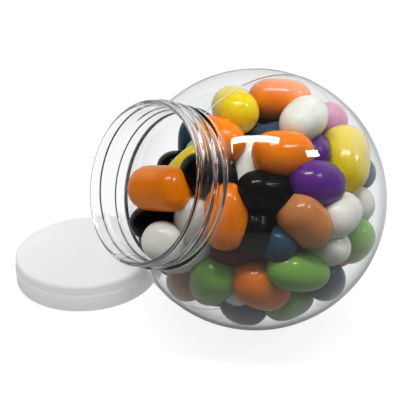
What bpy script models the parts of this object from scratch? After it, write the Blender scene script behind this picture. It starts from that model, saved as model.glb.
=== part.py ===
"""Jar of jelly beans: a clear ball jar on its side, its beans and its screw lid.

Run with: blender --background --python part.py
The origin is the spot that the ball rests on, +Z is up, and the mouth points towards -X and up.
Sizes are in millimetres here and become metres where the meshes are made.
"""
import math

import bmesh
import bpy
import numpy as np

MM = 0.001

# Jar: a ball with a screw neck, turned about an axis through the ball's centre
BALL_R = 46.0
WALL = 0.95
REST_SPOT_R = 5.0                   # the small flat that the ball rests on
NECK_TILT = math.radians(23.6)      # how far the mouth points above level
NECK_IN_R = 24.4
NECK_OUT_R = 25.4
BEAD_R = 26.5
BEAD_FROM, BEAD_TO = 39.9, 42.9     # along the axis, from the ball's centre
RIM_T = 53.3
LIP_R = 25.85
FOOT_R = 19.0                       # standing ring of the base, opposite the neck
BASE_T = -39.8
PUSH_UP = 1.5
THREAD_R = 26.6
THREAD_PITCH = 4.2
THREAD_TOP_T = 50.3
THREAD_TURNS = 1.35
THREAD_START = math.radians(200)    # clock angle of its upper end
THREAD_RIDGE = 1.5
THREAD_FLANK = 0.7
JAR_AROUND = 40
ARC_RINGS = 13

# Lid, lying top up on the floor
LID_PLACE = (-34.2, 60.8)
LID_TOP_R = 28.3
LID_FOOT_R = 28.7
LID_H = 11.0
LID_WALL = 1.3
LID_EDGE = 1.4                      # rounding of the top's edge
LID_STEP_Z = 6.6                    # where the side steps out
LID_AROUND = 40

# Beans
BEAN_LONG = 20.6
BEAN_WIDE = 13.6
END_ROUND = 0.86                    # an end's radius against the middle's
BEAN_COUNT = 106
SEED = 3
SCATTER_TRIES = 60000
SPACING_WIDE, SPACING_CLOSE = 15.5, 10.0
SHOWN_FROM, SHOWN_DEPTH = 10.0, 19.0  # loose beans stay this deep on the side that is laid by hand
SETTLE_STEPS = 260
SINK = 0.03                         # a loose bean's fall in one step
HELD_PULL = 0.35                    # how strongly a held bean is drawn back in one step
HELD_EASE = 0.3                     # how easily it gives way, against a loose one

# The heap's surface falls towards the mouth
SURFACE_SLOPE = math.radians(33)
FALL_BEARING = math.radians(150)
SURFACE_POINT = np.array([-6.0, 0.0, 45.0])
NECK_LIMIT = 19.0                   # loose beans stay short of the neck
NECK_STOP_T = 46.5                  # and no bean's end lies past this
HEAP_CENTRE = np.array([2.0, 0.0, -2.0])
HEAP_GRID = 15
HEAP_GAP = 0.9
CORNER_GAP = 4.3
VALLEY_DEPTH = 4.0                  # how far a dip lies below the beans around it

# Beans against the wall: kind, bearing, height (degrees), depth, turn, lean (degrees), length, width
WALL_BEANS = [
    ("orange", 345, 76, 0, 62, 13, 21.5, 14.0), ("white", 285, 62, 0, 10, 0, 20.5, 14.0),
    ("pink", 332, 45, 1, 155, 0, 18.0, 12.5), ("yellow", 306, 32, 0, 38, 0, 24.5, 16.5),
    ("navy", 318, 19, 3, 155, 0, 20.0, 13.5), ("purple", 291, 47, 7, 170, 0, 18.0, 12.5),
    ("orange", 246, 46, 0, 158, 0, 20.0, 15.0), ("purple", 260, 29, 0, 150, 0, 20.5, 15.5),
    ("yellow", 178, 73, 0, 140, 0, 20.5, 14.5), ("orange", 195, 55, 1, 158, 0, 20.0, 13.5),
    ("black", 0, 84, 14, 90, 0, 19.0, 13.0), ("navy", 275, 77, 13, 0, 0, 20.0, 13.5),
    ("white", 220, 43, 6, 80, 0, 19.0, 13.0), ("black", 231, 29, 2, 170, 0, 19.5, 13.5),
    ("black", 227, 12, 4, 100, 0, 20.0, 13.5), ("orange", 216, 18, 0, 130, 0, 21.5, 14.5),
    ("peach", 249, 14, 1, 120, 0, 19.5, 14.5), ("navy", 241, 9, 2, 30, 55, 18.0, 13.0),
    ("red", 218, -5, 6, 175, 0, 20.0, 13.0), ("white", 274, 11, 2, 170, 0, 22.0, 14.0),
    ("white", 308, 3, 3, 155, 0, 20.0, 13.5), ("green", 296, -12, 0, 115, 0, 20.5, 14.5),
    ("white", 267, -6, 3, 60, 0, 17.0, 12.0), ("green", 249, -11, 1, 175, 0, 23.0, 12.8),
    ("navy", 281, -35, 0, 140, 0, 22.5, 14.5), ("orange", 233, -19, 0, 135, 0, 21.5, 15.0),
    ("green", 201, -20, 0, 65, 0, 21.5, 15.5), ("white", 217, -50, 4, 80, 0, 19.0, 13.0),
    ("green", 258, -48, 1, 165, 0, 22.0, 14.0), ("navy", 215, -57, 0, 75, 0, 23.0, 14.0),
    ("peach", 175, -40, 1, 45, 0, 22.5, 14.5), ("white", 189, -15, 3, 170, 0, 22.0, 14.5),
]
# Beans in the neck: kind, place from the ball's centre, long axis, length, width
NECK_BEANS = [
    ("orange", (-42.5, -2.5, 18), (0.45, -0.9, 0.12), 20.5, 14.5),
    ("yellow", (-29, -1, 19.5), (0.6, -0.5, 0.6), 19, 13.0),
    ("black", (-29, -11, 20), (0.6, -0.8, -0.1), 20.5, 13.5),
    ("black", (-41.5, 0, 3.5), (0.4, -0.9, 0.1), 19, 13.0),
    ("white", (-46, -7, -1), (-0.5, -0.7, 0.45), 17.0, 13.0),
    ("white", (-36.5, -10, 8.5), (0.1, -0.3, 0.9), 18, 12.5),
]

# Worked out from the sizes above
BALL_Z = math.sqrt(BALL_R ** 2 - REST_SPOT_R ** 2)
BALL_CENTRE = np.array([0.0, 0.0, BALL_Z])
BALL_IN_R = BALL_R - WALL
AXIS = np.array([-math.cos(NECK_TILT), 0.0, math.sin(NECK_TILT)])
ACROSS = np.array([0.0, 1.0, 0.0])
OVER = np.cross(AXIS, ACROSS)
CORNER_T = math.sqrt(BALL_IN_R ** 2 - NECK_IN_R ** 2)
BASE_IN_T = BASE_T + WALL
SURFACE_NORMAL = np.array([math.sin(SURFACE_SLOPE) * math.cos(FALL_BEARING),
                           math.sin(SURFACE_SLOPE) * math.sin(FALL_BEARING), math.cos(SURFACE_SLOPE)])
NECK_NORMAL = (AXIS + [0.0, 0.15, 0.5]) / np.linalg.norm(AXIS + [0.0, 0.15, 0.5])
SHOWN_SIDE = np.array([-0.584, -0.722, 0.371])

CLEAR_PLASTIC = (0.93, 0.95, 0.96, 0.25)
BEAN_ORANGE = (0.62, 0.20, 0.03, 1.0)
LID_WHITE = (0.88, 0.88, 0.88, 1.0)


def unit(vectors):
    return vectors / np.linalg.norm(vectors, axis=-1, keepdims=True)


def arc(radius, start, end, count):
    """Points (along, out) of an arc about the origin, angles from the +axis, ends included."""
    return [(radius * math.cos(a), radius * math.sin(a)) for a in np.linspace(start, end, count)]


# ---------------------------------------------------------------- meshes

def material(name, colour, roughness, transmission=0.0):
    made = bpy.data.materials.new(name)
    made.use_nodes = True
    shader = made.node_tree.nodes["Principled BSDF"]
    shader.inputs["Base Color"].default_value = colour
    shader.inputs["Roughness"].default_value = roughness
    shader.inputs["Metallic"].default_value = 0.0
    shader.inputs["Alpha"].default_value = colour[3]
    shader.inputs["Transmission Weight"].default_value = transmission
    return made


def mesh_object(name, points, faces, finish):
    """A named object from points in millimetres, with its faces turned outwards."""
    bm = bmesh.new()
    verts = [bm.verts.new(np.asarray(p) * MM) for p in points]
    for face in faces:
        bm.faces.new([verts[i] for i in face])
    bmesh.ops.recalc_face_normals(bm, faces=bm.faces)
    mesh = bpy.data.meshes.new(name)
    bm.to_mesh(mesh)
    bm.free()
    mesh.materials.append(finish)
    mesh.shade_smooth()
    mesh.set_sharp_from_angle(angle=math.radians(35))
    made = bpy.data.objects.new(name, mesh)
    bpy.context.scene.collection.objects.link(made)
    return made


def skin_over_rings(rings):
    """Points and faces of a closed skin: a pole, equal rings, a pole."""
    points = [rings[0]]
    starts = []
    for ring in rings[1:-1]:
        starts.append(len(points))
        points.extend(ring)
    last = len(points)
    points.append(rings[-1])
    around = len(rings[1])
    faces = []
    for k in range(around):
        following = (k + 1) % around
        faces.append((0, starts[0] + k, starts[0] + following))
        faces.append((last, starts[-1] + following, starts[-1] + k))
        for lower, upper in zip(starts, starts[1:]):
            faces.append((lower + k, upper + k, upper + following, lower + following))
    return points, faces


# ---------------------------------------------------------------- jar

def thread_height(along, clock):
    """How far the thread stands out of the neck at a place on it."""
    height = 0.0
    for lap in range(int(THREAD_TURNS) + 2):
        run = (clock - THREAD_START) % (2 * math.pi) + 2 * math.pi * lap
        share = run / (2 * math.pi * THREAD_TURNS)
        if share > 1.0:
            continue
        ridge_t = THREAD_TOP_T - THREAD_PITCH * run / (2 * math.pi)
        flank = (THREAD_RIDGE / 2 + THREAD_FLANK - abs(along - ridge_t)) / THREAD_FLANK
        taper = min(1.0, 12 * share, 12 * (1.0 - share))
        height = max(height, (THREAD_R - NECK_OUT_R) * min(max(flank, 0.0), 1.0) * taper)
    return height


def jar_profile():
    """The jar's outline (along, out, threaded): up the outside, over the lip, down the inside."""
    foot_edge = math.asin(22.5 / BALL_R)
    shoulder = math.asin(NECK_OUT_R / BALL_R)
    outside = [(BASE_T + PUSH_UP, 8.0), (BASE_T + 0.9, 14.5), (BASE_T, 17.5), (BASE_T, FOOT_R + 1.0)]
    outside += arc(BALL_R, math.pi - foot_edge, shoulder, ARC_RINGS)
    outside += [(BEAD_FROM, NECK_OUT_R), (BEAD_FROM + 0.5, BEAD_R - 0.3), (BEAD_FROM + 1.0, BEAD_R)]
    outside += [(BEAD_TO - 1.0, BEAD_R), (BEAD_TO - 0.5, BEAD_R - 0.3), (BEAD_TO, NECK_OUT_R)]
    threaded = [(t, NECK_OUT_R) for t in np.arange(BEAD_TO + 0.5, RIM_T - 1.6, 0.7)]
    lip = [(RIM_T - 1.3, LIP_R - 0.2), (RIM_T - 0.7, LIP_R), (RIM_T - 0.2, LIP_R - 0.2),
           (RIM_T, LIP_R - 0.7), (RIM_T - 0.1, NECK_IN_R + 0.2), (RIM_T - 0.5, NECK_IN_R)]
    inner_shoulder = math.asin(NECK_IN_R / BALL_IN_R)
    inner_foot = math.pi - math.asin(20.5 / BALL_IN_R)
    inside = [(CORNER_T + 4.0, NECK_IN_R)]
    inside += arc(BALL_IN_R, inner_shoulder, inner_foot, ARC_RINGS)
    inside += [(BASE_IN_T, 17.0), (BASE_T + WALL + PUSH_UP, 8.0)]
    rows = [(t, r, False) for t, r in outside]
    rows += [(t, r, True) for t, r in threaded]
    rows += [(t, r, False) for t, r in lip + inside]
    return rows


def make_jar():
    rings = [BALL_CENTRE + AXIS * (BASE_T + PUSH_UP)]
    clocks = np.arange(JAR_AROUND) * 2 * math.pi / JAR_AROUND
    for along, out, threaded in jar_profile():
        ring = []
        for clock in clocks:
            reach = out + (thread_height(along, clock) if threaded else 0.0)
            spoke = ACROSS * math.cos(clock) + OVER * math.sin(clock)
            ring.append(BALL_CENTRE + AXIS * along + spoke * reach)
        rings.append(ring)
    rings.append(BALL_CENTRE + AXIS * (BASE_IN_T + PUSH_UP))
    points, faces = skin_over_rings(rings)
    jar = mesh_object("jar", points, faces, material("clear_plastic", CLEAR_PLASTIC, 0.05, 1.0))
    flatten_underside(jar)
    return jar


def flatten_underside(made):
    """Cuts a closed mesh off at floor level and closes it with one flat face."""
    bm = bmesh.new()
    bm.from_mesh(made.data)
    everything = bm.verts[:] + bm.edges[:] + bm.faces[:]
    cut = bmesh.ops.bisect_plane(bm, geom=everything, dist=1e-7, plane_co=(0, 0, 0),
                                 plane_no=(0, 0, -1), clear_outer=True)
    rim = [e for e in cut["geom_cut"] if isinstance(e, bmesh.types.BMEdge)]
    bmesh.ops.contextual_create(bm, geom=rim)
    bmesh.ops.recalc_face_normals(bm, faces=bm.faces)
    bm.to_mesh(made.data)
    bm.free()


# ---------------------------------------------------------------- lid

def make_lid():
    """A low cap, hollow underneath, with a step in its side."""
    edge = [(LID_TOP_R - LID_EDGE + LID_EDGE * math.sin(a), LID_H - LID_EDGE + LID_EDGE * math.cos(a))
            for a in np.linspace(0, math.pi / 2, 4)]
    outline = [(LID_TOP_R * 0.5, LID_H)] + edge
    outline += [(LID_TOP_R + 0.05, LID_STEP_Z + 0.3), (LID_FOOT_R - 0.05, LID_STEP_Z)]
    outline += [(LID_FOOT_R, 0.3), (LID_FOOT_R - 0.3, 0.0), (LID_FOOT_R - LID_WALL, 0.0)]
    outline += [(LID_TOP_R - LID_WALL, LID_H - LID_WALL), (LID_TOP_R * 0.5, LID_H - LID_WALL)]
    centre = np.array([LID_PLACE[0], LID_PLACE[1], 0.0])
    rings = [centre + [0, 0, LID_H]]
    for out, height in outline:
        clocks = np.arange(LID_AROUND) * 2 * math.pi / LID_AROUND
        rings.append([centre + [out * math.cos(c), out * math.sin(c), height] for c in clocks])
    rings.append(centre + [0, 0, LID_H - LID_WALL])
    points, faces = skin_over_rings(rings)
    return mesh_object("lid", points, faces, material("white_plastic", LID_WHITE, 0.4))


# ---------------------------------------------------------------- beans

def wall_gap(points):
    """Distance from the jar's inner wall, and the direction away from it (from the ball's centre)."""
    along = points @ AXIS
    off = points - along[:, None] * AXIS
    out = np.linalg.norm(off, axis=1) + 1e-9
    outward = off / out[:, None]
    reach = np.linalg.norm(points, axis=1) + 1e-9
    gap = BALL_IN_R - reach
    away = -points / reach[:, None]
    opening = (along > 0) & (out < along * NECK_IN_R / CORNER_T)
    to_t, to_r = along - CORNER_T, out - NECK_IN_R
    ring = np.hypot(to_t, to_r) + 1e-9
    from_ring = (to_t[:, None] * AXIS + to_r[:, None] * outward) / ring[:, None]
    before = opening & (along < CORNER_T)
    gap = np.where(before, ring, gap)
    away = np.where(before[:, None], from_ring, away)
    neck = opening & (along >= CORNER_T)
    gap = np.where(neck, NECK_IN_R - out, gap)
    away = np.where(neck[:, None], -outward, away)
    base = along - (BASE_T + WALL + PUSH_UP)
    floor = base < gap
    gap = np.where(floor, base, gap)
    away = np.where(floor[:, None], AXIS, away)
    return gap, away


def on_wall(bearing, height, turn, lean):
    """Outward direction at a place on the ball, and the long axis of a bean that lies there.

    The axis turns from level in the wall's plane, then leans inwards, all in degrees.
    """
    b, h, t, dip = (math.radians(v) for v in (bearing, height, turn, lean))
    outward = np.array([math.cos(h) * math.cos(b), math.cos(h) * math.sin(b), math.sin(h)])
    level = np.array([-math.sin(b), math.cos(b), 0.0])
    flat = level * math.cos(t) + np.cross(outward, level) * math.sin(t)
    return outward, flat * math.cos(dip) - outward * math.sin(dip)


def chosen_beans():
    """Place, long axis, length and width of each bean that is laid by hand."""
    beans = []
    for _, bearing, height, depth, turn, lean, long, wide in WALL_BEANS:
        outward, axis = on_wall(bearing, height, turn, lean)
        beans.append((outward * (BALL_IN_R - depth - wide / 2), axis, long, wide))
    for _, place, axis, long, wide in NECK_BEANS:
        beans.append((np.array(place, float), unit(np.array(axis, float)), long, wide))
    return beans


def loose_beans(chosen, rng):
    """Beans scattered through the rest of the heap, ever closer together until there are enough."""
    centres = [bean[0] for bean in chosen]
    loose = []
    for attempt in range(SCATTER_TRIES):
        if len(centres) == BEAN_COUNT:
            break
        spot = rng.uniform(-BALL_R, BALL_R, 3) * np.array([1.2, 1.0, 1.0])
        gap = wall_gap(spot[None])[0][0]
        if gap < BEAN_WIDE / 2 or spot @ NECK_NORMAL > NECK_LIMIT:
            continue
        if (spot - SURFACE_POINT) @ SURFACE_NORMAL > -BEAN_WIDE / 2:
            continue
        if spot @ SHOWN_SIDE > SHOWN_FROM and gap < SHOWN_DEPTH:
            continue
        spacing = SPACING_WIDE - (SPACING_WIDE - SPACING_CLOSE) * attempt / SCATTER_TRIES
        if np.min(np.linalg.norm(np.array(centres) - spot, axis=1)) < spacing:
            continue
        centres.append(spot)
        axis = unit(rng.normal(size=3))
        loose.append((spot, axis, BEAN_LONG * rng.uniform(0.9, 1.08), BEAN_WIDE * rng.uniform(0.93, 1.06)))
    return loose


def settle(beans, held):
    """Beans push each other and the wall until they lie side by side; loose ones grow as they do.

    Each bean is three spheres in a row. Held beans are drawn back to their places.
    """
    aim, aim_axis = (np.array([bean[i] for bean in beans]) for i in (0, 1))
    long, wide = (np.array([bean[i] for bean in beans]) for i in (2, 3))
    centre, axis = aim.copy(), aim_axis.copy()
    owner = np.repeat(np.arange(len(beans)), 3)
    same_bean = owner[:, None] == owner[None]
    ease = np.repeat(np.where(held > 0, HELD_EASE, 1.0), 3)
    share = 2 * ease[:, None] / (ease[:, None] + ease[None])
    loose = 0.5 * np.repeat(1 - held, 3)
    for step in range(SETTLE_STEPS):
        grown = np.where(held > 0, 1.0, min(1.0, 0.75 + 0.25 * step / (0.6 * SETTLE_STEPS)))
        middle = grown * wide / 2
        end = middle * END_ROUND
        arm = (grown * long / 2 - end)[:, None]
        centre[:, 2] -= SINK * (1 - held)
        centre += HELD_PULL * held[:, None] * (aim - centre)
        balls = np.stack([centre - axis * arm, centre, centre + axis * arm], 1).reshape(-1, 3)
        radius = np.stack([end, middle, end], 1).ravel()
        apart = balls[:, None] - balls[None]
        distance = np.linalg.norm(apart, axis=2) + 1e-9
        overlap = np.maximum(radius[:, None] + radius[None] - distance, 0)
        overlap[same_bean] = 0
        balls = balls + 0.25 * np.sum(apart * (share * overlap / distance)[..., None], axis=1)
        gap, away = wall_gap(balls)
        balls = balls + away * np.maximum(radius - gap, 0)[:, None]
        above = (balls - SURFACE_POINT) @ SURFACE_NORMAL + radius
        balls = balls - SURFACE_NORMAL * (loose * np.maximum(above, 0))[:, None]
        balls = balls - NECK_NORMAL * (loose * np.maximum(balls @ NECK_NORMAL - NECK_LIMIT, 0))[:, None]
        balls = balls - AXIS * (0.5 * np.maximum(balls @ AXIS - NECK_STOP_T, 0))[:, None]
        balls = balls.reshape(-1, 3, 3)
        centre = balls.mean(axis=1)
        axis = unit(unit(balls[:, 2] - balls[:, 0]) + 0.3 * held[:, None] * aim_axis)
    return centre, axis, long, wide


def settled_beans():
    """Centre, long axis, length and width of every bean in the jar, those laid by hand first."""
    chosen = chosen_beans()
    loose = loose_beans(chosen, np.random.default_rng(SEED))
    held = np.array([1.0] * len(chosen) + [0.0] * len(loose))
    return settle(chosen + loose, held)


def bean_spheres(centre, axis, long, wide):
    """Five spheres in a row that fill each bean."""
    places, radii = [], []
    for share in (-1.0, -0.5, 0.0, 0.5, 1.0):
        radius = wide / 2 * (1 - (1 - END_ROUND) * share ** 2)
        arm = share * (long / 2 - wide / 2 * END_ROUND)
        places.append(centre + axis * arm[:, None])
        radii.append(radius)
    return np.concatenate(places), np.concatenate(radii)


def cube_sphere(grid):
    """Directions and square faces of a sphere made from a cube's faces."""
    index, directions, faces = {}, [], []

    def corner(point):
        key = tuple(round(v, 6) for v in point)
        if key not in index:
            index[key] = len(directions)
            directions.append(unit(np.tan(np.array(point) * math.pi / 4)))
        return index[key]

    steps = np.linspace(-1, 1, grid + 1)
    for side in range(3):
        for sign in (-1.0, 1.0):
            for i in range(grid):
                for j in range(grid):
                    face = []
                    for u, v in ((i, j), (i + 1, j), (i + 1, j + 1), (i, j + 1)):
                        point = np.insert([steps[u], steps[v]], side, sign)
                        face.append(corner(point))
                    faces.append(face)
    return np.array(directions), faces


def heap_reach(directions, places, radii):
    """How far the heap reaches along each direction, with the gaps between beans softened."""
    rel = places - HEAP_CENTRE
    along = directions @ rel.T
    inside = along ** 2 - np.sum(rel ** 2, axis=1) + radii ** 2
    exits = np.where(inside > 0, along + np.sqrt(np.maximum(inside, 0)), 0)
    reach = exits.max(axis=1)
    near = directions @ directions.T > math.cos(math.radians(8.5))
    highest = np.where(near, reach, 0).max(axis=1)
    reach = np.maximum(reach, highest - VALLEY_DEPTH)
    return 0.5 * reach + 0.5 * (near @ reach) / near.sum(axis=1)


def wall_reach(directions):
    """How far the heap may reach before it would meet the jar."""
    steps = np.arange(5.0, 62.0, 0.2)
    reach = np.zeros(len(directions))
    free = np.ones(len(directions), bool)
    for step in steps:
        points = HEAP_CENTRE + directions * step
        gap, _ = wall_gap(points)
        along = points @ AXIS
        out = np.linalg.norm(points - along[:, None] * AXIS, axis=1)
        corner = np.hypot(along - CORNER_T, out - NECK_IN_R)
        free &= (gap > HEAP_GAP) & (corner > CORNER_GAP) & (along < RIM_T - 1)
        reach[free] = step
    return reach


def make_heap():
    places, radii = bean_spheres(*settled_beans())
    directions, faces = cube_sphere(HEAP_GRID)
    reach = np.minimum(heap_reach(directions, places, radii), wall_reach(directions))
    points = BALL_CENTRE + HEAP_CENTRE + directions * reach[:, None]
    return mesh_object("beans", points, faces, material("bean_sugar", BEAN_ORANGE, 0.25))


def main():
    for old in list(bpy.data.objects):
        bpy.data.objects.remove(old, do_unlink=True)
    make_jar()
    make_heap()
    make_lid()


main()
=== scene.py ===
"""Looks of the jar of jelly beans: single beans, clear jar, white lid, stage and camera.

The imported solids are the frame. Everything is in metres in the jar's own frame: the origin is the
spot that the ball rests on, +Z is up, and the mouth points towards -X and up.
"""
import math

import bmesh
import bpy
import numpy as np
from mathutils import Matrix, Vector


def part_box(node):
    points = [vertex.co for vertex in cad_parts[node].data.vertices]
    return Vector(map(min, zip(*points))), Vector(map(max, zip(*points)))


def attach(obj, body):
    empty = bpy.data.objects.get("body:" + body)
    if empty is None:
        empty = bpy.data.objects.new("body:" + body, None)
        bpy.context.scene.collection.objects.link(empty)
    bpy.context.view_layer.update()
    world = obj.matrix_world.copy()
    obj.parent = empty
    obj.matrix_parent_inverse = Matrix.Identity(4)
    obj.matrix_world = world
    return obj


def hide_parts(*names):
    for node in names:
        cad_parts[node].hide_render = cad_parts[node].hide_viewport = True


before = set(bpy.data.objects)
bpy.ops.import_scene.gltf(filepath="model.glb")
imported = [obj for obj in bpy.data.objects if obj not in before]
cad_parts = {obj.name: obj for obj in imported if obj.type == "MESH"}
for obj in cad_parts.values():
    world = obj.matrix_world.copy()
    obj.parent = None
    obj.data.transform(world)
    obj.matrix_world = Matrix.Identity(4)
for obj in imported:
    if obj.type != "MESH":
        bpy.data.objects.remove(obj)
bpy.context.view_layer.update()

bl_info = {
    "name": "Jar of jelly beans",
    "version": (1, 0, 0),
    "blender": (4, 5, 0),
    "location": "3D View > Sidebar > Jelly beans",
    "description": "Makes a clear ball jar of jelly beans with its screw lid",
    "category": "Add Mesh",
}

MM = 0.001
BEHIND = (0.637, 0.771, 0.0)         # level direction away from the shown side
LID_LOW, LID_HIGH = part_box("lid")

# Jar, in millimetres, as the frame's solid is turned
BALL_R = 46.0
REST_SPOT_R = 5.0
NECK_TILT = math.radians(23.6)
AXIS = np.array([-math.cos(NECK_TILT), 0.0, math.sin(NECK_TILT)])
ACROSS = np.array([0.0, 1.0, 0.0])
OVER = np.cross(AXIS, ACROSS)
BALL_CENTRE = np.array([0.0, 0.0, math.sqrt(BALL_R ** 2 - REST_SPOT_R ** 2)])
NECK_IN_R = 24.4
NECK_OUT_R = 25.4
BEAD_R = 26.5
BEAD_FROM, BEAD_TO = 39.9, 42.9
RIM_T = 53.3
LIP_R = 25.85
BASE_T = -39.8
PUSH_UP = 1.5
FOOT_R = 19.0
THREAD_R = 26.6
THREAD_PITCH = 4.2
THREAD_TOP_T = 50.3
THREAD_TURNS = 1.35
THREAD_START = math.radians(200)
SEAM_CLOCK = math.radians(-94.5)        # clock angle of the parting line
SEAM_RISE = 0.10
SEAM_HALF = math.radians(0.35)
SEAM_STEPS = (-2.6, -1.6, -1.0, -0.5, 0.0, 0.5, 1.0, 1.6, 2.6)

# Beans, laid as in the frame's solid
END_ROUND = 0.86
BEAN_FULL = 1.03                    # the fattest shape's width against its nominal one
WALL_CLEAR = 0.15
SCATTER_TRIES = 60000
SPACING_WIDE, SPACING_CLOSE = 15.5, 10.0
SHOWN_FROM, SHOWN_DEPTH = 10.0, 19.0
SETTLE_STEPS = 260
SINK = 0.03
HELD_PULL = 0.35
HELD_EASE = 0.3
SURFACE_SLOPE = math.radians(33)
FALL_BEARING = math.radians(150)
SURFACE_POINT = np.array([-6.0, 0.0, 45.0])
SURFACE_NORMAL = np.array([math.sin(SURFACE_SLOPE) * math.cos(FALL_BEARING),
                           math.sin(SURFACE_SLOPE) * math.sin(FALL_BEARING), math.cos(SURFACE_SLOPE)])
NECK_LIMIT = 19.0
NECK_STOP_T = 46.5
NECK_NORMAL = (AXIS + [0.0, 0.15, 0.5]) / np.linalg.norm(AXIS + [0.0, 0.15, 0.5])
SHOWN_SIDE = np.array([-0.584, -0.722, 0.371])
# Dark ball of painted shade deep in the heap, behind the beans that show
SHADE_CORE_PLACE = np.array([4.0, 4.0, -8.0])
SHADE_CORE_R = 20.0
SHADE_CORE_COLOUR = (0.05, 0.02, 0.012)

# Colour of each kind of bean (linear), and its share of the beans that don't show
BEAN_KINDS = {
    "orange": ((0.76, 0.185, 0.000), 0.17),
    "yellow": ((0.64, 0.49, 0.004), 0.10),
    "green": ((0.180, 0.380, 0.065), 0.13),
    "navy": ((0.018, 0.046, 0.085), 0.13),
    "black": ((0.0010, 0.0010, 0.0012), 0.11),
    "purple": ((0.090, 0.016, 0.190), 0.08),
    "pink": ((0.48, 0.14, 0.29), 0.06),
    "red": ((0.110, 0.001, 0.004), 0.05),
    "white": ((0.70, 0.70, 0.63), 0.12),
    "peach": ((0.48, 0.180, 0.055), 0.05),
}

# Beans against the wall: kind, bearing, height (degrees), depth, turn, lean (degrees), length, width
WALL_BEANS = [
    ("orange", 345, 76, 0, 62, 13, 21.5, 14.0), ("white", 285, 62, 0, 10, 0, 20.5, 14.0),
    ("pink", 332, 45, 1, 155, 0, 18.0, 12.5), ("yellow", 306, 32, 0, 38, 0, 24.5, 16.5),
    ("navy", 318, 19, 3, 155, 0, 20.0, 13.5), ("purple", 291, 47, 7, 170, 0, 18.0, 12.5),
    ("orange", 246, 46, 0, 158, 0, 20.0, 15.0), ("purple", 260, 29, 0, 150, 0, 20.5, 15.5),
    ("yellow", 178, 73, 0, 140, 0, 20.5, 14.5), ("orange", 195, 55, 1, 158, 0, 20.0, 13.5),
    ("black", 0, 84, 14, 90, 0, 19.0, 13.0), ("navy", 275, 77, 13, 0, 0, 20.0, 13.5),
    ("white", 220, 43, 6, 80, 0, 19.0, 13.0), ("black", 231, 29, 2, 170, 0, 19.5, 13.5),
    ("black", 227, 12, 4, 100, 0, 20.0, 13.5), ("orange", 216, 18, 0, 130, 0, 21.5, 14.5),
    ("peach", 249, 14, 1, 120, 0, 19.5, 14.5), ("navy", 241, 9, 2, 30, 55, 18.0, 13.0),
    ("red", 218, -5, 6, 175, 0, 20.0, 13.0), ("white", 274, 11, 2, 170, 0, 22.0, 14.0),
    ("white", 308, 3, 3, 155, 0, 20.0, 13.5), ("green", 296, -12, 0, 115, 0, 20.5, 14.5),
    ("white", 267, -6, 3, 60, 0, 17.0, 12.0), ("green", 249, -11, 1, 175, 0, 23.0, 12.8),
    ("navy", 281, -35, 0, 140, 0, 22.5, 14.5), ("orange", 233, -19, 0, 135, 0, 21.5, 15.0),
    ("green", 201, -20, 0, 65, 0, 21.5, 15.5), ("white", 217, -50, 4, 80, 0, 19.0, 13.0),
    ("green", 258, -48, 1, 165, 0, 22.0, 14.0), ("navy", 215, -57, 0, 75, 0, 23.0, 14.0),
    ("peach", 175, -40, 1, 45, 0, 22.5, 14.5), ("white", 189, -15, 3, 170, 0, 22.0, 14.5),
]
# Beans in the neck: kind, place from the ball's centre, long axis, length, width
NECK_BEANS = [
    ("orange", (-42.5, -2.5, 18), (0.45, -0.9, 0.12), 20.5, 14.5),
    ("yellow", (-29, -1, 19.5), (0.6, -0.5, 0.6), 19, 13.0),
    ("black", (-29, -11, 20), (0.6, -0.8, -0.1), 20.5, 13.5),
    ("black", (-41.5, 0, 3.5), (0.4, -0.9, 0.1), 19, 13.0),
    ("white", (-46, -7, -1), (-0.5, -0.7, 0.45), 17.0, 13.0),
    ("white", (-36.5, -10, 8.5), (0.1, -0.3, 0.9), 18, 12.5),
]


# ---------------------------------------------------------------- settings

class BeanSettings(bpy.types.PropertyGroup):
    long: bpy.props.FloatProperty(
        name="Length", description="Length of an average bean, in millimetres", default=20.6, min=5)
    wide: bpy.props.FloatProperty(
        name="Width", description="Width of an average bean, in millimetres", default=13.6, min=3)
    count: bpy.props.IntProperty(
        name="Count", description="Beans in the jar", default=106, min=1)
    seed: bpy.props.IntProperty(
        name="Seed", description="Seed of the beans that aren't laid by hand", default=3)
    lumps: bpy.props.FloatProperty(
        name="Lumps", description="Unevenness of a bean's shell", default=0.00035, unit="LENGTH")


class JarSettings(bpy.types.PropertyGroup):
    wall: bpy.props.FloatProperty(
        name="Wall", description="Thickness of the ball's plastic, in millimetres", default=0.95, min=0.3)
    tint: bpy.props.FloatVectorProperty(
        name="Tint", description="Colour of the clear plastic", subtype="COLOR", size=4,
        default=(0.97, 0.98, 0.985, 1.0), min=0, max=1)


class LidSettings(bpy.types.PropertyGroup):
    colour: bpy.props.FloatVectorProperty(
        name="Colour", description="Colour of the lid's plastic", subtype="COLOR", size=4,
        default=(0.96, 0.96, 0.96, 1.0), min=0, max=1)


class StageSettings(bpy.types.PropertyGroup):
    lens: bpy.props.FloatProperty(
        name="Lens", description="Focal length on a 36 mm sensor", default=69.6, min=10, subtype="NONE")
    strip: bpy.props.FloatProperty(name="Strip", description="Power of the strip lamp, in watts", default=3.6)
    small_lamp: bpy.props.FloatProperty(
        name="Small Lamp", description="Power of the small lamp, in watts", default=1.0)


# ---------------------------------------------------------------- helpers

def unit(vectors):
    return vectors / np.linalg.norm(vectors, axis=-1, keepdims=True)


def arc(radius, start, end, count):
    """Points (along, out) of an arc about the ball's centre, angles from the neck's axis."""
    return [(radius * math.cos(a), radius * math.sin(a)) for a in np.linspace(start, end, count)]


def mesh_from(name, points, faces):
    """A smooth-shaded mesh object from points in millimetres, at the origin, faces outwards."""
    bm = bmesh.new()
    verts = [bm.verts.new(np.asarray(p) * MM) for p in points]
    for face in faces:
        bm.faces.new([verts[i] for i in face])
    bmesh.ops.recalc_face_normals(bm, faces=bm.faces)
    mesh = bpy.data.meshes.new(name)
    bm.to_mesh(mesh)
    bm.free()
    mesh.shade_smooth()
    made = bpy.data.objects.new(name, mesh)
    bpy.context.scene.collection.objects.link(made)
    return made


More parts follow.
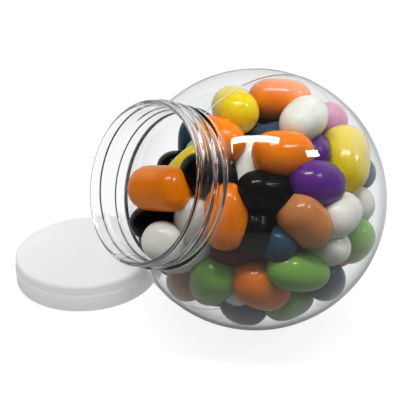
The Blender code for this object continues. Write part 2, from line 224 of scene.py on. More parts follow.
def skin_over_rings(rings):
    """Points and faces of a closed skin: a pole, equal rings, a pole."""
    points = [rings[0]]
    starts = []
    for ring in rings[1:-1]:
        starts.append(len(points))
        points.extend(ring)
    last = len(points)
    points.append(rings[-1])
    around = len(rings[1])
    faces = []
    for k in range(around):
        following = (k + 1) % around
        faces.append((0, starts[0] + k, starts[0] + following))
        faces.append((last, starts[-1] + following, starts[-1] + k))
        for lower, upper in zip(starts, starts[1:]):
            faces.append((lower + k, upper + k, upper + following, lower + following))
    return points, faces


def new_node(tree, kind, **inputs):
    """A node with some of its inputs set by name, underscores standing for spaces."""
    node = tree.nodes.new(kind)
    for name, value in inputs.items():
        node.inputs[name.replace("_", " ")].default_value = value
    return node


def put_value(tree, socket, value):
    """Sets a socket to a number or links it to another socket."""
    if isinstance(value, (int, float)):
        socket.default_value = value
    else:
        tree.links.new(value, socket)


def math_node(tree, operation, first, second):
    """Output of a maths node on two sockets or numbers."""
    node = tree.nodes.new("ShaderNodeMath")
    node.operation = operation
    for socket, value in zip(node.inputs, (first, second)):
        put_value(tree, socket, value)
    return node.outputs[0]


def map_node(tree, value, low, high, to_low, to_high):
    """Output that runs smoothly from one value to another while its input crosses a range."""
    node = tree.nodes.new("ShaderNodeMapRange")
    node.interpolation_type = "SMOOTHSTEP"
    for name, number in (("From Min", low), ("From Max", high), ("To Min", to_low), ("To Max", to_high)):
        node.inputs[name].default_value = number
    tree.links.new(value, node.inputs["Value"])
    return node.outputs["Result"]


def mix_node(tree, share, first, second):
    """Output that mixes two number sockets."""
    node = tree.nodes.new("ShaderNodeMix")
    for socket, value in zip((node.inputs[0], node.inputs[2], node.inputs[3]), (share, first, second)):
        put_value(tree, socket, value)
    return node.outputs[0]


def new_material(name):
    made = bpy.data.materials.new(name)
    made.use_nodes = True
    made.node_tree.nodes.clear()
    return made, made.node_tree


# ---------------------------------------------------------------- where the beans lie

def wall_gap(points, ball_in_r):
    """Distance from the jar's inner wall, and the direction away from it (from the ball's centre)."""
    corner_t = math.sqrt(ball_in_r ** 2 - NECK_IN_R ** 2)
    along = points @ AXIS
    off = points - along[:, None] * AXIS
    out = np.linalg.norm(off, axis=1) + 1e-9
    outward = off / out[:, None]
    reach = np.linalg.norm(points, axis=1) + 1e-9
    gap = ball_in_r - reach
    away = -points / reach[:, None]
    opening = (along > 0) & (out < along * NECK_IN_R / corner_t)
    to_t, to_r = along - corner_t, out - NECK_IN_R
    ring = np.hypot(to_t, to_r) + 1e-9
    from_ring = (to_t[:, None] * AXIS + to_r[:, None] * outward) / ring[:, None]
    before = opening & (along < corner_t)
    gap = np.where(before, ring, gap)
    away = np.where(before[:, None], from_ring, away)
    neck = opening & (along >= corner_t)
    gap = np.where(neck, NECK_IN_R - out, gap)
    away = np.where(neck[:, None], -outward, away)
    base = along - (BASE_T + BALL_R - ball_in_r + PUSH_UP)
    floor = base < gap
    gap = np.where(floor, base, gap)
    away = np.where(floor[:, None], AXIS, away)
    return gap, away


def on_wall(bearing, height, turn, lean):
    """Outward direction at a place on the ball, and the long axis of a bean that lies there.

    The axis turns from level in the wall's plane, then leans inwards, all in degrees.
    """
    b, h, t, dip = (math.radians(v) for v in (bearing, height, turn, lean))
    outward = np.array([math.cos(h) * math.cos(b), math.cos(h) * math.sin(b), math.sin(h)])
    level = np.array([-math.sin(b), math.cos(b), 0.0])
    flat = level * math.cos(t) + np.cross(outward, level) * math.sin(t)
    return outward, flat * math.cos(dip) - outward * math.sin(dip)


def chosen_beans(ball_in_r):
    """Place, long axis, length and width of each listed bean."""
    beans = []
    for _, bearing, height, depth, turn, lean, long, wide in WALL_BEANS:
        outward, axis = on_wall(bearing, height, turn, lean)
        beans.append((outward * (ball_in_r - depth - wide / 2), axis, long, wide))
    for _, place, axis, long, wide in NECK_BEANS:
        beans.append((np.array(place, float), unit(np.array(axis, float)), long, wide))
    return beans


def loose_beans(chosen, bean, ball_in_r, rng):
    """Beans scattered through the rest of the heap, ever closer together until there are enough."""
    centres = [bean[0] for bean in chosen]
    loose = []
    for attempt in range(SCATTER_TRIES):
        if len(centres) == bean.count:
            break
        spot = rng.uniform(-BALL_R, BALL_R, 3) * np.array([1.2, 1.0, 1.0])
        gap = wall_gap(spot[None], ball_in_r)[0][0]
        if gap < bean.wide / 2 or spot @ NECK_NORMAL > NECK_LIMIT:
            continue
        if (spot - SURFACE_POINT) @ SURFACE_NORMAL > -bean.wide / 2:
            continue
        if spot @ SHOWN_SIDE > SHOWN_FROM and gap < SHOWN_DEPTH:
            continue
        spacing = SPACING_WIDE - (SPACING_WIDE - SPACING_CLOSE) * attempt / SCATTER_TRIES
        if np.min(np.linalg.norm(np.array(centres) - spot, axis=1)) < spacing:
            continue
        centres.append(spot)
        axis = unit(rng.normal(size=3))
        loose.append((spot, axis, bean.long * rng.uniform(0.9, 1.08), bean.wide * rng.uniform(0.93, 1.06)))
    return loose


def settle(beans, held, ball_in_r):
    """Beans push each other and the wall until they lie side by side; loose ones grow as they do.

    Each bean is three spheres in a row. Held beans are drawn back to their places.
    """
    aim, aim_axis = (np.array([bean[i] for bean in beans]) for i in (0, 1))
    long, wide = (np.array([bean[i] for bean in beans]) for i in (2, 3))
    centre, axis = aim.copy(), aim_axis.copy()
    owner = np.repeat(np.arange(len(beans)), 3)
    same_bean = owner[:, None] == owner[None]
    ease = np.repeat(np.where(held > 0, HELD_EASE, 1.0), 3)
    share = 2 * ease[:, None] / (ease[:, None] + ease[None])
    loose = 0.5 * np.repeat(1 - held, 3)
    for step in range(SETTLE_STEPS):
        grown = np.where(held > 0, 1.0, min(1.0, 0.75 + 0.25 * step / (0.6 * SETTLE_STEPS)))
        middle = grown * wide / 2
        end = middle * END_ROUND
        arm = (grown * long / 2 - end)[:, None]
        centre[:, 2] -= SINK * (1 - held)
        centre += HELD_PULL * held[:, None] * (aim - centre)
        balls = np.stack([centre - axis * arm, centre, centre + axis * arm], 1).reshape(-1, 3)
        radius = np.stack([end, middle, end], 1).ravel()
        apart = balls[:, None] - balls[None]
        distance = np.linalg.norm(apart, axis=2) + 1e-9
        overlap = np.maximum(radius[:, None] + radius[None] - distance, 0)
        overlap[same_bean] = 0
        balls = balls + 0.25 * np.sum(apart * (share * overlap / distance)[..., None], axis=1)
        gap, away = wall_gap(balls, ball_in_r)
        balls = balls + away * np.maximum(radius - gap, 0)[:, None]
        above = (balls - SURFACE_POINT) @ SURFACE_NORMAL + radius
        balls = balls - SURFACE_NORMAL * (loose * np.maximum(above, 0))[:, None]
        balls = balls - NECK_NORMAL * (loose * np.maximum(balls @ NECK_NORMAL - NECK_LIMIT, 0))[:, None]
        balls = balls - AXIS * (0.5 * np.maximum(balls @ AXIS - NECK_STOP_T, 0))[:, None]
        balls = balls.reshape(-1, 3, 3)
        centre = balls.mean(axis=1)
        axis = unit(unit(balls[:, 2] - balls[:, 0]) + 0.3 * held[:, None] * aim_axis)
    return centre, axis, long, wide


def clear_of_wall(centre, axis, long, wide, ball_in_r):
    """Moves beans off the wall until their blunt ends and fat sides are clear of it too."""
    for share in np.tile(np.linspace(-0.96, 0.96, 9), 6):
        out = BEAN_FULL * wide / 2 * (1 - abs(share) ** 3) ** 0.46
        gap, away = wall_gap(centre + axis * (share * long / 2)[:, None], ball_in_r)
        centre = centre + away * np.maximum(out + WALL_CLEAR - gap, 0)[:, None]
    return centre


def settled_beans(bean, ball_in_r, rng):
    """Centre, long axis, length and width of every bean in the jar, the listed ones first."""
    chosen = chosen_beans(ball_in_r)
    loose = loose_beans(chosen, bean, ball_in_r, rng)
    held = np.array([1.0] * len(chosen) + [0.0] * len(loose))
    centre, axis, long, wide = settle(chosen + loose, held, ball_in_r)
    return clear_of_wall(centre, axis, long, wide, ball_in_r), axis, long, wide


# ---------------------------------------------------------------- bean meshes

def bean_shape(name, blunt, egg, bend):
    """One bean of length 2 along X and width 2, as a soft barrel; egg fattens one end."""
    around, along = 28, 26
    rings = [np.array([-1.0, 0.0, 0.0])]
    for i in range(1, along):
        tilt = math.pi * i / along
        x = -math.copysign(abs(math.cos(tilt)) ** (2 / blunt), math.cos(tilt))
        out = math.sin(tilt) ** (2 / 2.15) * (1 + egg * x)
        ring = []
        for k in range(around):
            clock = 2 * math.pi * k / around
            ring.append(np.array([x, out * math.cos(clock), out * math.sin(clock) + bend * (1 - x * x)]))
        rings.append(ring)
    rings.append(np.array([1.0, 0.0, 0.0]))
    points, faces = skin_over_rings(rings)
    return mesh_from(name, [point / MM for point in points], faces)


def bean_tree(shapes):
    """Geometry nodes that put an uneven bean on each point, from the points' own attributes."""
    tree = bpy.data.node_groups.new("beans on points", "GeometryNodeTree")
    sockets = tree.interface
    sockets.new_socket("Geometry", in_out="INPUT", socket_type="NodeSocketGeometry")
    sockets.new_socket("Lumps", in_out="INPUT", socket_type="NodeSocketFloat")
    sockets.new_socket("Lump Scale", in_out="INPUT", socket_type="NodeSocketFloat")
    sockets.new_socket("Material", in_out="INPUT", socket_type="NodeSocketMaterial")
    sockets.new_socket("Geometry", in_out="OUTPUT", socket_type="NodeSocketGeometry")
    given = tree.nodes.new("NodeGroupInput")
    put = tree.nodes.new("NodeGroupOutput")
    link = tree.links.new

    join = tree.nodes.new("GeometryNodeGeometryToInstance")
    for shape in reversed(shapes):
        info = tree.nodes.new("GeometryNodeObjectInfo")
        info.inputs["Object"].default_value = shape
        info.inputs["As Instance"].default_value = False
        link(info.outputs["Geometry"], join.inputs[0])

    def attribute(name, kind):
        node = tree.nodes.new("GeometryNodeInputNamedAttribute")
        node.data_type = kind
        node.inputs["Name"].default_value = name
        return node.outputs["Attribute"]

    place = tree.nodes.new("GeometryNodeInstanceOnPoints")
    place.inputs["Pick Instance"].default_value = True
    link(given.outputs["Geometry"], place.inputs["Points"])
    link(join.outputs[0], place.inputs["Instance"])
    link(attribute("shape", "INT"), place.inputs["Instance Index"])
    turn = tree.nodes.new("FunctionNodeEulerToRotation")
    link(attribute("turn", "FLOAT_VECTOR"), turn.inputs[0])
    link(turn.outputs[0], place.inputs["Rotation"])
    link(attribute("half_size", "FLOAT_VECTOR"), place.inputs["Scale"])

    real = tree.nodes.new("GeometryNodeRealizeInstances")
    link(place.outputs["Instances"], real.inputs["Geometry"])
    noise = tree.nodes.new("ShaderNodeTexNoise")
    noise.inputs["Detail"].default_value = 1.0
    link(given.outputs["Lump Scale"], noise.inputs["Scale"])
    normal = tree.nodes.new("GeometryNodeInputNormal")
    level = tree.nodes.new("ShaderNodeMath")
    level.operation = "SUBTRACT"
    level.inputs[1].default_value = 0.5
    height = tree.nodes.new("ShaderNodeMath")
    height.operation = "MULTIPLY"
    shift = tree.nodes.new("ShaderNodeVectorMath")
    shift.operation = "SCALE"
    link(noise.outputs["Fac"], level.inputs[0])
    link(level.outputs[0], height.inputs[0])
    link(given.outputs["Lumps"], height.inputs[1])
    link(normal.outputs[0], shift.inputs[0])
    link(height.outputs[0], shift.inputs["Scale"])
    move = tree.nodes.new("GeometryNodeSetPosition")
    link(real.outputs[0], move.inputs["Geometry"])
    link(shift.outputs[0], move.inputs["Offset"])
    smooth = tree.nodes.new("GeometryNodeSetShadeSmooth")
    link(move.outputs[0], smooth.inputs[0])
    paint = tree.nodes.new("GeometryNodeSetMaterial")
    link(smooth.outputs[0], paint.inputs["Geometry"])
    link(given.outputs["Material"], paint.inputs["Material"])
    link(paint.outputs[0], put.inputs[0])
    return tree


def set_input(modifier, name, value):
    """Sets a geometry nodes input by its name, through its socket's identifier."""
    for item in modifier.node_group.interface.items_tree:
        if item.item_type == "SOCKET" and item.in_out == "INPUT" and item.name == name:
            modifier[item.identifier] = value


def bean_piece(kind, centres, axes, halves, shapes, tints, tree, finish, lumps):
    """All beans of one colour as a plain mesh."""
    mesh = bpy.data.meshes.new("points_" + kind)
    mesh.from_pydata([tuple((BALL_CENTRE + c) * MM) for c in centres], [], [])
    turns = []
    for index, axis in enumerate(axes):
        spin = Matrix.Rotation(2.4 * index, 3, "X")
        turn = Vector(axis).to_track_quat("X", "Z").to_matrix() @ spin
        turns.append(turn.to_euler())
    for name, kind_of, values in (("turn", "FLOAT_VECTOR", turns), ("half_size", "FLOAT_VECTOR", halves)):
        layer = mesh.attributes.new(name, kind_of, "POINT")
        layer.data.foreach_set("vector", np.array(values, float).ravel())
    layer = mesh.attributes.new("shape", "INT", "POINT")
    layer.data.foreach_set("value", np.array(shapes, int))
    layer = mesh.attributes.new("tint", "FLOAT", "POINT")
    layer.data.foreach_set("value", np.array(tints, float))
    points = bpy.data.objects.new("points_" + kind, mesh)
    bpy.context.scene.collection.objects.link(points)
    modifier = points.modifiers.new("beans", "NODES")
    modifier.node_group = tree
    set_input(modifier, "Lumps", lumps)
    set_input(modifier, "Lump Scale", 95.0)
    set_input(modifier, "Material", finish)
    graph = bpy.context.evaluated_depsgraph_get()
    plain = bpy.data.meshes.new_from_object(points.evaluated_get(graph))
    plain.name = "beans_" + kind
    piece = bpy.data.objects.new("beans_" + kind, plain)
    bpy.context.scene.collection.objects.link(piece)
    bpy.data.objects.remove(points)
    return piece


def shade_core_mesh():
    """A plain dark ball of painted shade behind the beans, so that no light shows between them."""
    middle = BALL_CENTRE + SHADE_CORE_PLACE
    rings = [middle + [0, 0, SHADE_CORE_R]]
    for tilt in np.linspace(0, math.pi, 14)[1:-1]:
        out, up = SHADE_CORE_R * math.sin(tilt), SHADE_CORE_R * math.cos(tilt)
        clocks = np.linspace(0, 2 * math.pi, 24, endpoint=False)
        rings.append([middle + [out * math.cos(c), out * math.sin(c), up] for c in clocks])
    rings.append(middle - [0, 0, SHADE_CORE_R])
    return mesh_from("bean_core", *skin_over_rings(rings))


# ---------------------------------------------------------------- materials

def bean_shell_group():
    """Colour and gloss of a sugar shell: each bean a little lighter or darker, with soft clouds."""
    group = bpy.data.node_groups.new("bean shell", "ShaderNodeTree")
    sockets = group.interface
    sockets.new_socket("Colour", in_out="INPUT", socket_type="NodeSocketColor")
    sockets.new_socket("Clouds", in_out="INPUT", socket_type="NodeSocketFloat")
    sockets.new_socket("Colour", in_out="OUTPUT", socket_type="NodeSocketColor")
    sockets.new_socket("Roughness", in_out="OUTPUT", socket_type="NodeSocketFloat")
    sockets.new_socket("Height", in_out="OUTPUT", socket_type="NodeSocketFloat")
    given = group.nodes.new("NodeGroupInput")
    put = group.nodes.new("NodeGroupOutput")
    link = group.links.new
    where = group.nodes.new("ShaderNodeTexCoord")
    clouds = new_node(group, "ShaderNodeTexNoise", Scale=70.0, Detail=2.0)
    link(where.outputs["Object"], clouds.inputs["Vector"])
    tint = group.nodes.new("ShaderNodeAttribute")
    tint.attribute_name = "tint"
    spread = group.nodes.new("ShaderNodeMapRange")
    spread.inputs["From Min"].default_value = 0.35
    spread.inputs["From Max"].default_value = 0.65
    spread.inputs["To Min"].default_value = -1.0
    spread.inputs["To Max"].default_value = 1.0
    link(clouds.outputs["Fac"], spread.inputs["Value"])
    amount = group.nodes.new("ShaderNodeMath")
    amount.operation = "MULTIPLY"
    link(spread.outputs[0], amount.inputs[0])
    link(given.outputs["Clouds"], amount.inputs[1])
    total = group.nodes.new("ShaderNodeMath")
    total.operation = "ADD"
    link(amount.outputs[0], total.inputs[0])
    link(tint.outputs["Fac"], total.inputs[1])
    shade = new_node(group, "ShaderNodeHueSaturation")
    link(given.outputs["Colour"], shade.inputs["Color"])
    link(total.outputs[0], shade.inputs["Value"])
    link(shade.outputs[0], put.inputs["Colour"])
    fine = new_node(group, "ShaderNodeTexNoise", Scale=260.0, Detail=3.0)
    link(where.outputs["Object"], fine.inputs["Vector"])
    gloss = group.nodes.new("ShaderNodeMapRange")
    gloss.inputs["To Min"].default_value = 0.12
    gloss.inputs["To Max"].default_value = 0.26
    link(fine.outputs["Fac"], gloss.inputs["Value"])
    link(gloss.outputs[0], put.inputs["Roughness"])
    link(fine.outputs["Fac"], put.inputs["Height"])
    return group


def bean_material(kind, colour, group):
    made, tree = new_material("bean_" + kind)
    link = tree.links.new
    shell = tree.nodes.new("ShaderNodeGroup")
    shell.node_tree = group
    shell.inputs["Colour"].default_value = (*colour, 1.0)
    shell.inputs["Clouds"].default_value = 0.10
    shader = new_node(tree, "ShaderNodeBsdfPrincipled", IOR=1.48, Subsurface_Weight=0.25)
    shader.inputs["Specular IOR Level"].default_value = 0.4 if max(colour) > 0.15 else 0.15
    shader.inputs["Subsurface Radius"].default_value = (1.0, 0.6, 0.4)
    shader.inputs["Subsurface Scale"].default_value = 0.002
    bump = new_node(tree, "ShaderNodeBump", Strength=0.06, Distance=0.0003)
    link(shell.outputs["Colour"], shader.inputs["Base Color"])
    link(shell.outputs["Roughness"], shader.inputs["Roughness"])
    link(shell.outputs["Height"], bump.inputs["Height"])
    link(bump.outputs[0], shader.inputs["Normal"])
    put = tree.nodes.new("ShaderNodeOutputMaterial")
    link(shader.outputs[0], put.inputs["Surface"])
    return made


def clear_material(tint):
    """Clear blown plastic: a hair of waviness, and lamps shine straight through it."""
    made, tree = new_material("clear_plastic")
    link = tree.links.new
    shader = new_node(tree, "ShaderNodeBsdfPrincipled", Roughness=0.015, IOR=1.5, Transmission_Weight=1.0)
    shader.inputs["Base Color"].default_value = tint
    where = tree.nodes.new("ShaderNodeTexCoord")
    waves = new_node(tree, "ShaderNodeTexNoise", Scale=45.0, Detail=1.0)
    bump = new_node(tree, "ShaderNodeBump", Strength=0.25, Distance=0.0003)
    link(where.outputs["Object"], waves.inputs["Vector"])
    link(waves.outputs["Fac"], bump.inputs["Height"])
    link(bump.outputs[0], shader.inputs["Normal"])
    through = tree.nodes.new("ShaderNodeBsdfTransparent")
    path = tree.nodes.new("ShaderNodeLightPath")
    mix = tree.nodes.new("ShaderNodeMixShader")
    link(path.outputs["Is Shadow Ray"], mix.inputs["Fac"])
    link(shader.outputs[0], mix.inputs[1])
    link(through.outputs[0], mix.inputs[2])
    put = tree.nodes.new("ShaderNodeOutputMaterial")
    link(mix.outputs[0], put.inputs["Surface"])
    return made


def lid_material(colour):
    made, tree = new_material("white_plastic")
    link = tree.links.new
    shader = new_node(tree, "ShaderNodeBsdfPrincipled", Roughness=0.35, IOR=1.49, Subsurface_Weight=0.5)
    shader.inputs["Base Color"].default_value = colour
    shader.inputs["Subsurface Radius"].default_value = (1.0, 1.0, 1.0)
    shader.inputs["Subsurface Scale"].default_value = 0.003
    where = tree.nodes.new("ShaderNodeTexCoord")
    grain = new_node(tree, "ShaderNodeTexNoise", Scale=900.0, Detail=2.0)
    bump = new_node(tree, "ShaderNodeBump", Strength=0.05, Distance=0.0002)
    link(where.outputs["Object"], grain.inputs["Vector"])
    link(grain.outputs["Fac"], bump.inputs["Height"])
    link(bump.outputs[0], shader.inputs["Normal"])
    put = tree.nodes.new("ShaderNodeOutputMaterial")
    link(shader.outputs[0], put.inputs["Surface"])
    return made


# ---------------------------------------------------------------- jar mesh

def thread_height(along, clock):
    """How far the thread stands out of the neck at a place on it, with rounded flanks."""
    height = 0.0
    for lap in range(int(THREAD_TURNS) + 2):
        run = (clock - THREAD_START) % (2 * math.pi) + 2 * math.pi * lap
        share = run / (2 * math.pi * THREAD_TURNS)
        if share > 1.0:
            continue
        ridge_t = THREAD_TOP_T - THREAD_PITCH * run / (2 * math.pi)
        reach = min(1.0, abs(along - ridge_t) / 1.35)
        taper = min(1.0, 12 * share, 12 * (1.0 - share))
        height = max(height, (THREAD_R - NECK_OUT_R) * (1 - reach ** 3) ** 1.5 * taper)
    return height


def jar_profile(wall):
    """The jar's outline (along, out, kind of side): up the outside, over the lip, down the inside."""
    inner_r = BALL_R - wall
    foot_edge = math.asin(22.5 / BALL_R)
    shoulder = math.asin(NECK_OUT_R / BALL_R)
    outside = [(BASE_T + PUSH_UP, 8.0), (BASE_T + 1.2, 12.5), (BASE_T + 0.5, 15.8), (BASE_T, 17.8)]
    outside += [(BASE_T - 0.1, FOOT_R), (BASE_T, FOOT_R + 1.2)]
    outside += arc(BALL_R, math.pi - foot_edge, shoulder, 64)
    bead_mid = (BEAD_FROM + BEAD_TO) / 2
    half = (BEAD_TO - BEAD_FROM) / 2
    outside.append((BEAD_FROM - 0.6, NECK_OUT_R))
    for step in np.linspace(-1, 1, 15):
        outside.append((bead_mid + half * step, NECK_OUT_R + (BEAD_R - NECK_OUT_R) * (1 - step ** 4)))
    threaded = [(t, NECK_OUT_R) for t in np.arange(BEAD_TO + 0.25, RIM_T - 1.4, 0.22)]
    lip_mid = NECK_IN_R + (LIP_R - NECK_IN_R) / 2
    lip_half = (LIP_R - NECK_IN_R) / 2
    lip = [(RIM_T - 1.3, NECK_OUT_R), (RIM_T - 1.1, LIP_R - 0.1), (RIM_T - 0.9, LIP_R)]
    for angle in np.linspace(0, math.pi, 9):
        lip.append((RIM_T - 0.6 + 0.6 * math.sin(angle), lip_mid + lip_half * math.cos(angle)))
    inner_shoulder = math.asin(NECK_IN_R / inner_r)
    inner_foot = math.pi - math.asin(20.5 / inner_r)
    corner_t = math.sqrt(inner_r ** 2 - NECK_IN_R ** 2)
    inside = [(t, NECK_IN_R) for t in np.linspace(RIM_T - 1.5, corner_t + 0.3, 12)]
    inside += arc(inner_r, inner_shoulder + 0.012, inner_foot, 64)
    inside += [(BASE_T + wall, 18.0), (BASE_T + wall + 0.6, 15.0), (BASE_T + wall + PUSH_UP, 8.0)]
    rows = [(t, r, "plain") for t, r in outside]
    rows += [(t, r, "threaded") for t, r in threaded]
    rows += [(t, r, "inside") for t, r in lip + inside]
    return rows


def seam_height(clock):
    """The parting line's height at a clock angle: a fine ridge on opposite sides of the jar."""
    off = math.remainder(clock - SEAM_CLOCK, math.pi)
    return SEAM_RISE * math.exp(-(off / SEAM_HALF) ** 2)


def jar_clocks():
    """Even clock angles, and closer ones where the parting line runs."""
    near = [side + step * SEAM_HALF for side in (SEAM_CLOCK, SEAM_CLOCK + math.pi) for step in SEAM_STEPS]
    even = np.arange(144) * 2 * math.pi / 144
    clear = [c for c in even if abs(math.remainder(c - SEAM_CLOCK, math.pi)) > 4 * SEAM_HALF]
    return np.sort(np.mod(clear + near, 2 * math.pi))


def jar_mesh(wall):
    clocks = jar_clocks()
    rings = [BALL_CENTRE + AXIS * (BASE_T + PUSH_UP)]
    for along, out, side in jar_profile(wall):
        ring = []
        for clock in clocks:
            reach = out
            if side == "threaded":
                reach += thread_height(along, clock)
            if side != "inside":
                reach += seam_height(clock)
            spoke = ACROSS * math.cos(clock) + OVER * math.sin(clock)
            point = BALL_CENTRE + AXIS * along + spoke * reach
            point[2] = max(point[2], 0.0)
            ring.append(point)
        rings.append(ring)
    rings.append(BALL_CENTRE + AXIS * (BASE_T + wall + PUSH_UP))
    points, faces = skin_over_rings(rings)
    return mesh_from("clear_jar", points, faces)


# ---------------------------------------------------------------- lid mesh

def lid_mesh():
    centre = np.array([(LID_LOW[0] + LID_HIGH[0]) / 2, (LID_LOW[1] + LID_HIGH[1]) / 2, 0.0]) / MM
    foot_r = (LID_HIGH[0] - LID_LOW[0]) / 2 / MM
    top_r, height, wall, edge, step_z = foot_r - 0.4, LID_HIGH[2] / MM, 1.3, 1.4, 6.6
    outline = [(top_r * 0.5, height)]
    for angle in np.linspace(0, math.pi / 2, 9):
        outline.append((top_r - edge + edge * math.sin(angle), height - edge + edge * math.cos(angle)))
    outline += [(top_r, step_z + 0.5), (top_r + 0.02, step_z + 0.25), (foot_r - 0.1, step_z), (foot_r, step_z - 0.3)]
    outline += [(foot_r, 0.4), (foot_r - 0.15, 0.1), (foot_r - 0.4, 0.0), (foot_r - wall + 0.2, 0.0)]
    outline += [(foot_r - wall, 0.2), (top_r - wall, height - wall - 0.5), (top_r - wall - 0.5, height - wall)]
    outline += [(top_r * 0.5, height - wall)]
    rings = [centre + [0, 0, height]]
    for out, z in outline:
        rings.append([centre + [out * math.cos(c), out * math.sin(c), z] for c in np.linspace(0, 2 * math.pi, 129)[:-1]])
    rings.append(centre + [0, 0, height - wall])
    points, faces = skin_over_rings(rings)
    return mesh_from("white_lid", points, faces)


# ---------------------------------------------------------------- operators

class MakeBeans(bpy.types.Operator):
    """Makes the beans, one piece for each colour, and the dark core of painted shade behind them"""
    bl_idname = "jelly_jar.make_beans"
    bl_label = "Make beans"

    def execute(self, context):
        bean = context.scene.jelly_beans
        rng = np.random.default_rng(bean.seed)
        centres, axes, longs, wides = settled_beans(bean, BALL_R - context.scene.jelly_jar.wall, rng)
        kinds = [row[0] for row in WALL_BEANS + NECK_BEANS]
        shares = np.array([share for _, share in BEAN_KINDS.values()])
        kinds += list(rng.choice(list(BEAN_KINDS), len(centres) - len(kinds), p=shares / shares.sum()))
        tints = rng.uniform(0.88, 1.10, len(centres))
        picks = rng.integers(0, 4, len(centres))
        picks[len(WALL_BEANS)] = 4
        shapes = [bean_shape("bean_barrel", 3.2, 0.03, 0.0), bean_shape("bean_egg", 2.6, 0.09, 0.0),
                  bean_shape("bean_bent", 2.9, 0.04, 0.05), bean_shape("bean_plump", 2.5, -0.05, 0.03),
                  bean_shape("bean_blunt", 5.0, 0.0, 0.03)]
        tree = bean_tree(shapes)
        group = bean_shell_group()
        for kind, (colour, _) in BEAN_KINDS.items():
            mine = [i for i, name in enumerate(kinds) if name == kind]
            halves = [(longs[i] / 2 * MM, wides[i] / 2 * MM, wides[i] / 2 * MM) for i in mine]
            piece = bean_piece(kind, centres[mine], axes[mine], halves, picks[mine], tints[mine], tree,
                               bean_material(kind, colour, group), bean.lumps)
            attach(piece, "root")
            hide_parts("beans")
        # The dark core is painted shade behind the beans
        core = shade_core_mesh()
        core.data.materials.append(bean_material("core", SHADE_CORE_COLOUR, group))
        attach(core, "root")
        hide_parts("beans")
        for shape in shapes:
            bpy.data.objects.remove(shape)
        return {"FINISHED"}


class MakeJar(bpy.types.Operator):
    """Makes the clear jar with its neck, bead, thread and lip"""
    bl_idname = "jelly_jar.make_jar"
    bl_label = "Make jar"

    def execute(self, context):
        jar = context.scene.jelly_jar
        piece = jar_mesh(jar.wall)
        piece.data.materials.append(clear_material(jar.tint))
        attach(piece, "root")
        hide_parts("jar")
        return {"FINISHED"}


class MakeLid(bpy.types.Operator):
    """Makes the white screw lid that lies beside the jar"""
    bl_idname = "jelly_jar.make_lid"
    bl_label = "Make lid"

    def execute(self, context):
        piece = lid_mesh()
        piece.data.materials.append(lid_material(context.scene.jelly_lid.colour))
        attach(piece, "root")
        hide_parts("lid")
        return {"FINISHED"}


def soft_light(name, place, aim, long_side, size, power):
    """A rectangular lamp that faces a place, its first size along the given direction."""
    lamp = bpy.data.lights.new(name, "AREA")
    lamp.shape = "RECTANGLE"
    lamp.size, lamp.size_y = size
    lamp.energy = power
    back = (Vector(place) - Vector(aim)).normalized()
    along = Vector(long_side)
    along = (along - along.dot(back) * back).normalized()
    made = bpy.data.objects.new(name, lamp)
    turn = Matrix((along, back.cross(along), back)).transposed()
    made.matrix_world = Matrix.Translation(place) @ turn.to_4x4()
    bpy.context.scene.collection.objects.link(made)
    return made


def ray_kinds(tree):
    """1 for a ray straight from the camera or through clear plastic, for a mirrored one, for a spent one.

    Spent rays left a bean through the plastic, where the lamps and the world already shine straight in.
    """
    path = tree.nodes.new("ShaderNodeLightPath")
    seen = math_node(tree, "MAXIMUM", path.outputs["Is Camera Ray"], path.outputs["Is Transmission Ray"])
    bounces = math_node(tree, "ADD", path.outputs["Diffuse Depth"], path.outputs["Glossy Depth"])
    straight = math_node(tree, "MULTIPLY", seen, math_node(tree, "LESS_THAN", bounces, 0.5))
    inside = math_node(tree, "MULTIPLY", seen, math_node(tree, "GREATER_THAN", path.outputs["Glossy Depth"], 0.5))
    mirrored = math_node(tree, "MAXIMUM", path.outputs["Is Glossy Ray"], inside)
    spent = math_node(tree, "MULTIPLY", seen, math_node(tree, "GREATER_THAN", path.outputs["Diffuse Depth"], 0.5))
    return straight, mirrored, spent


def studio_world():
    """White where it is seen, dim and brighter from above for light, darker in front for reflections."""
    world = bpy.data.worlds.new("studio")
    world.use_nodes = True
    tree = world.node_tree
    link = tree.links.new
    where = tree.nodes.new("ShaderNodeTexCoord")
    parts = tree.nodes.new("ShaderNodeSeparateXYZ")
    link(where.outputs["Generated"], parts.inputs[0])
    behind = tree.nodes.new("ShaderNodeVectorMath")
    behind.operation = "DOT_PRODUCT"
    behind.inputs[1].default_value = BEHIND
    link(where.outputs["Generated"], behind.inputs[0])
    glow = math_node(tree, "MULTIPLY", map_node(tree, behind.outputs["Value"], 0.0, 0.6, 0.0, 1.0),
                     map_node(tree, parts.outputs["Z"], 0.5, 0.87, 1.0, 0.0))
    mirrored = map_node(tree, glow, 0.0, 1.0, 0.08, 0.87)
    front = map_node(tree, behind.outputs["Value"], -0.9, 0.3, 0.45, 1.0)
    light = math_node(tree, "MULTIPLY", map_node(tree, parts.outputs["Z"], -0.3, 0.9, 0.28, 0.72), front)
    straight, glossy, spent = ray_kinds(tree)
    around = math_node(tree, "SUBTRACT", mix_node(tree, glossy, light, mirrored), spent)
    around = math_node(tree, "MAXIMUM", around, 0.0)
    link(mix_node(tree, straight, around, 1.0), tree.nodes["Background"].inputs["Strength"])
    tree.nodes["Background"].inputs["Color"].default_value = (1, 1, 1, 1)
    return world


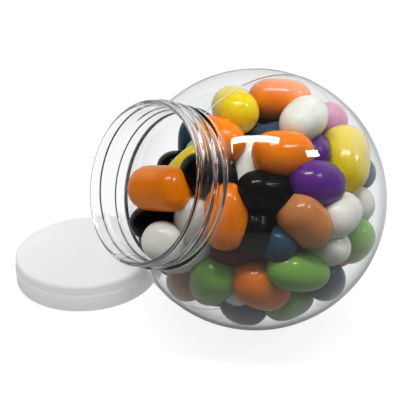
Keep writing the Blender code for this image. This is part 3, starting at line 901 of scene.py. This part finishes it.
def floor_material():
    """White floor that glows where it is seen, so that shadows on it stay faint; in reflections its glow is a
    painted reflection, dim towards the camera and brighter behind, and other rays get a painted glow that lights the
    beans from below.
    """
    made, tree = new_material("pale_floor")
    shader = new_node(tree, "ShaderNodeBsdfPrincipled", Roughness=0.9)
    shader.inputs["Base Color"].default_value = (0.22, 0.22, 0.22, 1)
    shader.inputs["Specular IOR Level"].default_value = 0.0
    shader.inputs["Emission Color"].default_value = (1, 1, 1, 1)
    where = tree.nodes.new("ShaderNodeTexCoord")
    behind = tree.nodes.new("ShaderNodeVectorMath")
    behind.operation = "DOT_PRODUCT"
    behind.inputs[1].default_value = BEHIND
    tree.links.new(where.outputs["Object"], behind.inputs[0])
    # Painted reflection: in reflections the floor's glow is dim towards the camera and brighter behind
    mirrored = map_node(tree, behind.outputs["Value"], -0.15, 0.15, 0.03, 0.45)
    straight, glossy, _ = ray_kinds(tree)
    # Painted light: rays that neither see nor mirror the floor get a steady glow of 0.5, lighting the beans from
    # below
    unseen = mix_node(tree, glossy, 0.5, mirrored)
    tree.links.new(mix_node(tree, straight, unseen, 0.87), shader.inputs["Emission Strength"])
    made.cycles.emission_sampling = "NONE"
    put = tree.nodes.new("ShaderNodeOutputMaterial")
    tree.links.new(shader.outputs[0], put.inputs["Surface"])
    return made


class MakeStage(bpy.types.Operator):
    """Makes the pale floor, the soft lights, the surroundings and the camera"""
    bl_idname = "jelly_jar.make_stage"
    bl_label = "Make stage"

    def execute(self, context):
        scene = context.scene
        stage = scene.jelly_stage
        bpy.ops.mesh.primitive_plane_add(size=6.0, location=(0, 0, -0.0002))
        floor = context.object
        floor.name = "pale_floor"
        floor.data.materials.append(floor_material())
        scene.world = studio_world()
        aim = (-0.02, -0.02, 0.08)
        soft_light("strip", (-0.15, -0.15, 0.95), aim, (0.42, -0.38, 0), (0.57, 0.09), stage.strip)
        soft_light("small_lamp", (0.355, -0.55, 0.72), aim, (0.29, 0.03, -0.16), (0.18, 0.08), stage.small_lamp)

        lens = bpy.data.cameras.new("camera")
        lens.sensor_width = 36.0
        lens.lens = stage.lens
        camera = bpy.data.objects.new("camera", lens)
        camera.location = (-0.1716, -0.1774, 0.1687)
        bearing, down = math.radians(50.42), math.radians(26.6)
        level = math.cos(down)
        ahead = Vector((math.cos(bearing) * level, math.sin(bearing) * level, -math.sin(down)))
        camera.rotation_euler = ahead.to_track_quat("-Z", "Y").to_euler()
        scene.collection.objects.link(camera)
        scene.camera = camera
        scene.view_settings.view_transform = "Standard"
        return {"FINISHED"}


class JellyJarPanel(bpy.types.Panel):
    """Buttons and sizes of the jar of jelly beans"""
    bl_idname = "VIEW3D_PT_jelly_jar"
    bl_label = "Jar of jelly beans"
    bl_space_type = "VIEW_3D"
    bl_region_type = "UI"
    bl_category = "Jelly beans"

    def draw(self, context):
        scene = context.scene
        for settings, operator in ((scene.jelly_beans, MakeBeans), (scene.jelly_jar, MakeJar),
                                   (scene.jelly_lid, MakeLid), (scene.jelly_stage, MakeStage)):
            box = self.layout.box()
            for name in settings.bl_rna.properties.keys():
                if name not in ("rna_type", "name"):
                    box.prop(settings, name)
            box.operator(operator.bl_idname)


SETTINGS = {"jelly_beans": BeanSettings, "jelly_jar": JarSettings, "jelly_lid": LidSettings,
            "jelly_stage": StageSettings}
OPERATORS = (MakeBeans, MakeJar, MakeLid, MakeStage)


def register():
    for made in (*SETTINGS.values(), *OPERATORS, JellyJarPanel):
        bpy.utils.register_class(made)
    for name, settings in SETTINGS.items():
        setattr(bpy.types.Scene, name, bpy.props.PointerProperty(type=settings))


def unregister():
    for name in SETTINGS:
        delattr(bpy.types.Scene, name)
    for made in (JellyJarPanel, *reversed(OPERATORS), *SETTINGS.values()):
        bpy.utils.unregister_class(made)


def main():
    register()
    bpy.ops.jelly_jar.make_beans()
    bpy.ops.jelly_jar.make_jar()
    bpy.ops.jelly_jar.make_lid()
    bpy.ops.jelly_jar.make_stage()


if __name__ == "__main__":
    main()
